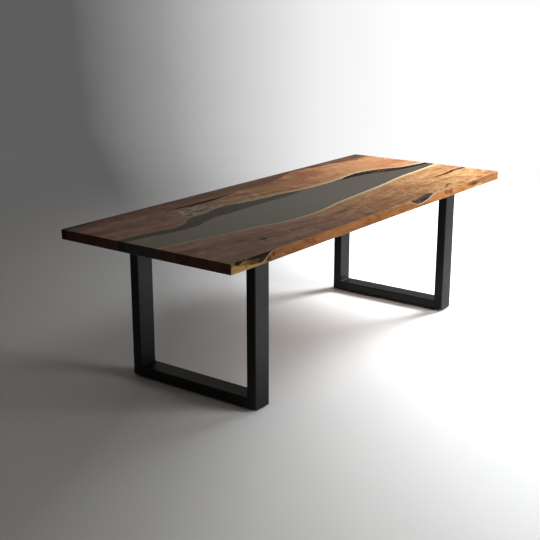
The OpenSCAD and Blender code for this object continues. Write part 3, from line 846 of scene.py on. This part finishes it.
def river():
    """Resin between the two live edges, with rows close to each."""
    close = MM * np.array([0, 3, 7, 12, 18, 25, 33, 42])
    between = 8
    close_share = 0.45
    count = 2 * len(close) + between - 1

    def place(x, row, t):
        low, high = front_edge(x, t), rear_edge(x, t)
        shrink = np.minimum(1, close_share * (high - low) / close[-1])
        from_low = close[np.clip(row, 0, len(close) - 1)] * shrink
        from_high = close[np.clip(count - 1 - row, 0, len(close) - 1)] * shrink
        share = np.clip((row - len(close) + 1) / between, 0, 1)
        a, b = low + from_low, high - from_high
        return a + (b - a) * share, TOP_Z - t * THICK

    return shell("river", STATIONS, count, LEVELS, place)


def wood_values(piece, edge, side):
    """Writes how far each point is from the live edge, and its place across the growth rings."""
    p = places(piece)
    x = np.clip(p[:, 0], -HALF_L, HALF_L)
    depth = np.clip(TOP_Z - p[:, 2], 0, THICK)
    start = edge(x, depth / THICK)
    sap = side * (p[:, 1] - start)
    smoothing, tight_reach, wide_reach = 0.16, 0.05, 0.9
    pith_beyond, pith_above = 0.03, 0.05
    shifts = np.linspace(-smoothing, smoothing, 17)
    smooth = np.mean([edge(np.clip(x + d, -HALF_L, HALF_L), 0 * x) for d in shifts], 0)
    middle = float(np.mean(edge(STATIONS, 0 * STATIONS)))
    # The rings keep to the bays of the live edge close to it, and to its smoothed line further in
    tight = np.exp(-np.maximum(sap, 0) / tight_reach)
    wide = np.exp(-np.maximum(sap, 0) / wide_reach) * (1 - tight)
    line = middle + (start - middle) * tight + (smooth - middle) * wide
    to_pith = side * (HALF_W * side - middle) + pith_beyond - side * (p[:, 1] - line)
    add_values(piece, "sap", sap)
    add_values(piece, "ring", np.hypot(to_pith, depth + pith_above))
    if side > 0:
        strip_ragged, strip_blur = 10, 0.014
        strip = (curve(BACK_STRIP, x / MM) + strip_ragged * crags(x, seed=41)) * MM
        add_values(piece, "back", np.clip((p[:, 1] - strip) / strip_blur + 0.5, 0, 1))


def river_values(piece):
    """Writes how far each point is from the rear live edge and past the sunken bark, and its brown."""
    least_bark, brown_from, brown_over, clean_edge = 0.003, 0.42, 0.10, 0.002
    p = places(piece)
    x = np.clip(p[:, 0], -HALF_L, HALF_L)
    inside = rear_edge(x, 0 * x) - p[:, 1]
    width = np.maximum(rear_edge(x, 0 * x) - curve(SUNKEN_BARK, x / MM) * MM, least_bark)
    add_values(piece, "inside", inside)
    add_values(piece, "past", inside - width)
    brown = np.clip((x - brown_from) / brown_over, 0, 1) * np.clip(inside / clean_edge, 0, 1)
    add_values(piece, "brown", brown)


def channel_recess():
    """Room for the two stiffening channels, as one cutter."""
    outlines = []
    for node in ("near_channel", "far_channel"):
        low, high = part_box(node)
        x_low, x_high = low.x - CHANNEL_ROOM, high.x + CHANNEL_ROOM
        y_low, y_high = low.y - CHANNEL_ROOM, high.y + CHANNEL_ROOM
        outlines.append([(x_low, y_low), (x_high, y_low), (x_high, y_high), (x_low, y_high)])
    return prisms("recess", outlines, UNDER_Z - CUT_PAST, RECESS_TOP)


def top_block():
    """The whole top as one block, to trim fills with."""
    def place(x, row, t):
        return HALF_W * (2 * row - 1), TOP_Z - t * THICK

    return shell("block", np.array([-HALF_L, HALF_L]), 2, np.array([0, 1]), place)


# Patches of other colour: centre in mm (along, across, down), radii, softness, amount, colour
REAR_SPOTS = [
    ((-1215, 424, 0), (140, 46, 60), 0.6, 0.75, (104, 94, 86)),
    ((-300, 185, 0), (200, 26, 40), 0.5, 0.55, (186, 158, 124)),
    ((120, 300, 0), (150, 60, 60), 0.6, 0.4, (150, 112, 72)),
    ((270, 240, 0), (150, 70, 60), 0.6, 0.5, (192, 118, 88)),
    ((500, 350, 0), (130, 60, 60), 0.5, 0.6, (164, 102, 72)),
    ((1000, 230, 0), (260, 110, 60), 0.6, 0.5, (218, 152, 102)),
]
# Thin dark marks on the top, in mm: along, across, half length, half width, turn in degrees, amount
REAR_STROKES = [
    (-580, 232, 62, 4, -4, 0.85), (-545, 205, 30, 3, 12, 0.5), (-480, 250, 40, 3, 8, 0.35),
    (330, 305, 42, 4, 30, 0.5), (480, 311, 16, 5, 25, 0.8), (545, 352, 18, 4, 10, 0.5),
    (600, 209, 20, 4, 30, 0.6), (575, 290, 40, 3, 35, 0.35), (905, 300, 18, 4, 20, 0.4),
    (1050, 190, 14, 3, 20, 0.5), (830, 245, 16, 3, 25, 0.4), (1000, 330, 20, 3, 10, 0.4),
]
FRONT_STROKES = [
    (-824, -338, 34, 8, -14, 0.95), (-812, -330, 13, 13, 0, 0.7), (-786, -336, 34, 5, 16, 0.75),
    (-862, -330, 30, 5, -30, 0.65), (-830, -356, 24, 4, 40, 0.5), (-624, -350, 9, 4, 0, 0.6),
    (-568, -358, 14, 4, 0, 0.6), (-96, -318, 16, 5, 25, 0.8), (-152, -382, 14, 4, 20, 0.7),
    (-232, -374, 14, 4, 10, 0.7), (-200, -342, 10, 3, 30, 0.5), (24, -262, 14, 3, 20, 0.5),
    (419, -268, 24, 6, 25, 0.75), (560, -284, 70, 3, 12, 0.55), (584, -378, 30, 5, 12, 0.7),
    (683, -345, 24, 4, -25, 0.6), (360, -344, 22, 4, 5, 0.5), (460, -365, 22, 4, 30, 0.5),
    (620, -172, 24, 3, 10, 0.35), (650, -445, 34, 7, 20, 0.8), (706, -424, 40, 7, 14, 0.95),
    (745, -425, 14, 6, -15, 0.8), (1180, -352, 20, 3, 0, 0.4), (1030, -350, 20, 3, 5, 0.35),
    (1010, -464, 60, 6, 6, 0.6), (1130, -458, 40, 4, -4, 0.5), (1190, -470, 40, 5, -6, 0.5),
    (250, -400, 30, 3, 10, 0.4), (120, -350, 26, 3, 10, 0.4), (60, -420, 26, 3, 10, 0.3),
]
FACE_SPOTS = [
    ((-420, -482, 22), (150, 12, 34), 0.5, 0.45, (198, 136, 84)),
    ((110, -482, 20), (60, 12, 22), 0.5, 0.4, (140, 90, 52)),
    ((1130, -482, 24), (150, 12, 34), 0.5, 0.6, (176, 120, 76)),
    ((1005, -482, 14), (60, 12, 24), 0.5, 0.5, (156, 102, 58)),
    ((-1120, -474, 0), (105, 24, 14), 0.35, 0.75, (150, 122, 76)),
    ((-1120, -484, 34), (130, 30, 24), 0.3, 0.9, (196, 158, 104)),
    ((-912, -482, 8), (46, 14, 14), 0.4, 0.7, (128, 100, 48)),
    ((-940, -482, 17), (9, 20, 9), 0.5, 0.9, (96, 40, 24)),
    ((-972, -484, 32), (17, 20, 9), 0.35, 1, (44, 20, 12)),
    ((-970, -484, 33), (8, 20, 4), 0.4, 1, (196, 116, 78)),
    ((-1125, -484, 30), (6, 12, 5), 0.4, 1, (28, 12, 8)),
    ((590, -482, 16), (26, 12, 12), 0.5, 0.8, (150, 92, 48)),
    ((640, -482, 22), (18, 12, 20), 0.5, 0.7, (142, 84, 42)),
    ((898, -482, 18), (70, 12, 12), 0.5, 0.8, (112, 68, 34)),
    ((930, -482, 28), (40, 12, 8), 0.5, 0.7, (96, 56, 28)),
    ((960, -482, 38), (60, 12, 7), 0.5, 0.7, (230, 202, 146)),
    ((1120, -482, 14), (50, 12, 10), 0.5, 0.5, (150, 96, 52)),
    ((330, -484, 38), (90, 12, 8), 0.5, 0.5, (170, 112, 52)),
    ((200, -482, 22), (60, 12, 14), 0.5, 0.5, (150, 92, 56)),
]


def build_top():
    """Slabs, river and fills, in place of the solids of the top."""
    rear = slab("rear_slab_wood", rear_edge, HALF_W)
    front = slab("front_slab_wood", front_edge, -HALF_W)
    cast = river()
    recess, block = channel_recess(), top_block()

    split = crack_outline(REAR_SPLIT, seed=31, ragged=3)
    crack = crack_outline(FRONT_CRACK, seed=35, ragged=5)
    branch = crack_outline(FRONT_BRANCH, seed=38, ragged=2)
    check = crack_outline(REAR_CHECK, seed=45, ragged=2)
    plugs = [plug_outline(*k) for k in KNOT_PLUGS]
    corner = corner_outline()
    above, below = TOP_Z + CUT_PAST, UNDER_Z - CUT_PAST
    plug_floor = TOP_Z - PLUG_DEPTH

    for piece, cutters in (
        (rear, [
            prisms("cut", [split], FILL_FLOOR, above),
            prisms("cut", [corner], below, above),
            prisms("cut", [check], plug_floor, above),
        ]),
        (front, [
            prisms("cut", [crack], FILL_FLOOR, above),
            prisms("cut", plugs + [branch], plug_floor, above),
            pocket("cut", NEAR_POCKET, NEAR_POCKET_DEPTH, CUT_PAST),
            pocket("cut", FAR_POCKET, FAR_POCKET_DEPTH, CUT_PAST),
        ]),
        (cast, []),
    ):
        boolean(piece, recess)
        for cutter in cutters:
            boolean(piece, cutter)
            discard(cutter)

    wood_values(rear, rear_edge, 1)
    wood_values(front, front_edge, -1)
    river_values(cast)
    finish_piece(rear, wood_material("rear_slab_wood", 1, REAR_KNOTS, REAR_SPOTS, REAR_STROKES, []),
                 "rear_slab")
    finish_piece(front,
                 wood_material("front_slab_wood", -1, FRONT_KNOTS, [], FRONT_STROKES, FACE_SPOTS),
                 "front_slab")
    finish_piece(cast, river_material(), "river_resin")

    dark = blotch_material("dark_crack_resin", (16, 10, 7), (38, 26, 18))
    fills = (
        (prisms("rear_split_resin", [split], FILL_FLOOR, TOP_Z),
         blotch_material("split_resin", (26, 28, 23), (56, 58, 50)), "dark_resin", "rear_split_fill"),
        (prisms("rear_corner_resin", [corner], below, above),
         blotch_material("corner_resin", (66, 62, 56), (92, 85, 78), (78, 48, 47)), "river_resin",
         "rear_corner_fill"),
        (prisms("front_crack_resin", [crack], FILL_FLOOR, above), dark, "dark_resin",
         "front_crack_fill"),
        (prisms("knot_plugs", plugs + [branch, check], plug_floor, TOP_Z), dark, "dark_resin",
         "knot_fills"),
        (pocket("near_pocket_resin", NEAR_POCKET, NEAR_POCKET_DEPTH), near_pocket_material(),
         "clear_resin", "near_pocket_fill"),
        (pocket("far_pocket_resin", FAR_POCKET, FAR_POCKET_DEPTH), far_pocket_material(),
         "clear_resin", "far_pocket_fill"),
    )
    for piece, material, slot, node in fills:
        if piece.name in ("rear_corner_resin", "front_crack_resin"):
            boolean(piece, block, "INTERSECT")
        finish_piece(piece, material, node)
    discard(recess, block)


def dress_solids():
    """Materials for the solids that stay."""
    finishes = {
        "black_steel": steel_material(), "zinc_steel": zinc_material(), "brass": brass_material(),
        "foot_rubber": rubber_material(),
    }
    for part in frame["record"]["subparts"]:
        finish = finishes.get(part["material_slot"])
        if finish:
            solid = frame["nodes"][part["node"]]
            solid.data.materials.clear()
            solid.data.materials.append(finish)


# ---- Floor, lights and camera ----
FLOOR_RADIUS, BEND, RISE = 7, 2.2, 3.4
FLOOR_RINGS = (0.5, 1, 2, 3, 4, 5, 6, FLOOR_RADIUS)
BEND_STEP = 6
TURNS = 96
# Direction across the photograph, in which the backdrop goes from grey to white
ACROSS = (0.596, -0.803, 0)
# Greys from the photograph's left to its right: as the floor lights the object, as the floor is seen,
# and as the backdrop beyond it is seen
# Painted light and shade: these greys make the floor and backdrop dark at one side and bright at the
# other, in place of the light falling off across them
LIT_FLOOR = ((0, 0.40), (0.5, 0.70), (1, 0.85))
SEEN_FLOOR = ((0, 0.85), (0.25, 1.20), (0.5, 1.8), (0.75, 2.2), (1, 2.4))
SEEN_BEYOND = ((0, 0.112), (0.25, 0.30), (0.5, 0.60), (0.75, 0.88), (1, 1))
COOL = (0.965, 1, 1.03)
HIGH_TAN = (0.192, 0.160, 0.118)
# Places on the floor under the two lamps, where its colour is darker so that their pools don't show
UNDER_KEY, UNDER_FRONT = (3, -1.1, 0), (0.9, -3, 0)
SKY_COLOUR = (1, 0.91, 0.82)
SKY_LEAN = (0.72, -0.1, 0.68)
# The camera that was fitted to the photograph: place, angles in radians, and lens
CAMERA_PLACE = (-4.19384, -2.87641, 1.84523)
AZIMUTH, ELEVATION = 0.93205, -0.28177
PIXELS, FOCAL_PIXELS, SENSOR = 540, 1023.38, 36


def stage_mesh():
    """Round floor that bends up into a backdrop."""
    profile = [(r, 0) for r in FLOOR_RINGS]
    profile += [(FLOOR_RADIUS + BEND * math.sin(a), BEND - BEND * math.cos(a))
                for a in np.radians(np.arange(BEND_STEP, 91, BEND_STEP))]
    profile.append((FLOOR_RADIUS + BEND, BEND + RISE))
    points = [(0, 0, 0)] + [
        (r * math.cos(a), r * math.sin(a), z)
        for r, z in profile for a in np.linspace(0, 2 * math.pi, TURNS + 1)[:-1]
    ]
    faces = [[0, 1 + j, 1 + (j + 1) % TURNS] for j in range(TURNS)]
    for i in range(len(profile) - 1):
        a, b = 1 + i * TURNS, 1 + (i + 1) * TURNS
        faces += [[a + j, b + j, b + (j + 1) % TURNS, a + (j + 1) % TURNS] for j in range(TURNS)]
    stage = make_object("stage", points, faces)
    for face in stage.data.polygons:
        face.use_smooth = True
    return stage


def backdrop_material():
    """Floor and backdrop, whose greys for camera and mirror rays are apart from the light they give."""
    s = Shader("pale_backdrop")
    p = s.place
    away = s.vector("LENGTH", p)
    side = s.math("DIVIDE", s.vector("DOT_PRODUCT", p, ACROSS), s.math("MULTIPLY_ADD", away, 0.46, 1))
    # Painted light and shade across the floor and backdrop, from grey at one side to white at the other
    across = s.add(s.spread(side, -0.535, 0.305, smooth=False), s.sway(s.noise(p, 1.3, 2, 0.5), 0.02))
    rays = s.node("ShaderNodeLightPath").outputs
    mirrored = s.math("MAXIMUM", rays["Is Glossy Ray"], rays["Is Transmission Ray"])
    seen = s.math("MAXIMUM", rays["Is Camera Ray"], mirrored)

    shade = s.spread(s.distance(p, UNDER_KEY), 0.6, 3.4, 0.13, 1)
    shade = s.times(shade, s.spread(s.distance(p, UNDER_FRONT), 0.7, 2.4, 0.45, 1))
    pale = s.mix(1, s.greys(across, SEEN_FLOOR), COOL, "MULTIPLY")
    floor = s.mix(seen, s.greys(across, LIT_FLOOR), pale)
    ground = s.node("ShaderNodeVectorMath", floor, operation="SCALE")
    s.fill(ground, {"Scale": shade})
    matt = s.node("ShaderNodeBsdfDiffuse", ground.outputs["Vector"])

    shine = s.greys(across, SEEN_BEYOND)
    high = s.spread(s.split(p)[2], 1.4, 2.4)
    glow = s.node("ShaderNodeEmission", s.mix(high, shine, s.mix(0.88, shine, HIGH_TAN)))
    clear = s.node("ShaderNodeBsdfTransparent")
    beyond = s.node("ShaderNodeMixShader", seen, clear.outputs[0], glow.outputs[0])
    whole = s.node("ShaderNodeMixShader", s.spread(away, 2.2, 5), matt.outputs[0], beyond.outputs[0])
    s.fill(s.nodes["Material Output"], {"Surface": whole.outputs[0]})
    return s.material


def build_stage():
    stage = stage_mesh()
    stage.data.materials.append(backdrop_material())


def fade_light(lamp, fade, full):
    """Takes a lamp's light down with the length of its rays, from where it is full."""
    g = Graph(lamp)
    length = g.node("ShaderNodeLightPath").outputs["Ray Length"]
    strength = g.math("EXPONENT", g.math("MULTIPLY_ADD", length, -fade, fade * full))
    g.fill(g.nodes["Emission"], {"Strength": strength})


def softbox(name, place, target, size, power, glossy=True):
    """Area lamp that looks at a target."""
    lamp = bpy.data.lights.new(name, "AREA")
    lamp.shape = "RECTANGLE"
    lamp.size, lamp.size_y = size
    lamp.energy = power
    holder = bpy.data.objects.new(name, lamp)
    bpy.context.scene.collection.objects.link(holder)
    holder.location = place
    holder.rotation_euler = (Vector(target) - Vector(place)).to_track_quat("-Z", "Y").to_euler()
    holder.visible_camera = False
    holder.visible_glossy = glossy
    return lamp


def build_lights():
    key = softbox("key_softbox", place=(3.93, -1.15, 2.96), target=(0.6, -0.1, 0.6),
                  size=(1.3, 1.3), power=375)
    fade_light(key, fade=1.05, full=3.69)
    softbox("front_softbox", place=(0.9, -3.6, 1.2), target=(0.2, -0.4, 0.7),
            size=(1.8, 1.4), power=60, glossy=False)


def build_world():
    """Soft warm light, a little stronger from the key lamp's side and from above."""
    world = bpy.data.worlds.new("studio")
    bpy.context.scene.world = world
    g = Graph(world)
    lean = g.vector("DOT_PRODUCT", g.node("ShaderNodeTexCoord").outputs["Generated"], SKY_LEAN)
    strength = g.spread(lean, -0.6, 0.9, 0, 0.16, smooth=False)
    g.fill(g.nodes["Background"], {"Strength": strength, "Color": SKY_COLOUR})


def build_camera():
    camera = bpy.data.cameras.new("camera")
    camera.sensor_width = SENSOR
    camera.lens = FOCAL_PIXELS * SENSOR / PIXELS
    holder = bpy.data.objects.new("camera", camera)
    bpy.context.scene.collection.objects.link(holder)
    holder.location = CAMERA_PLACE
    look = Vector((
        math.sin(AZIMUTH) * math.cos(ELEVATION),
        math.cos(AZIMUTH) * math.cos(ELEVATION),
        math.sin(ELEVATION),
    ))
    holder.rotation_euler = look.to_track_quat("-Z", "Y").to_euler()
    bpy.context.scene.camera = holder


build_camera()
build_top()
dress_solids()
build_stage()
build_lights()
build_world()
bpy.context.scene.view_settings.view_transform = "Standard"
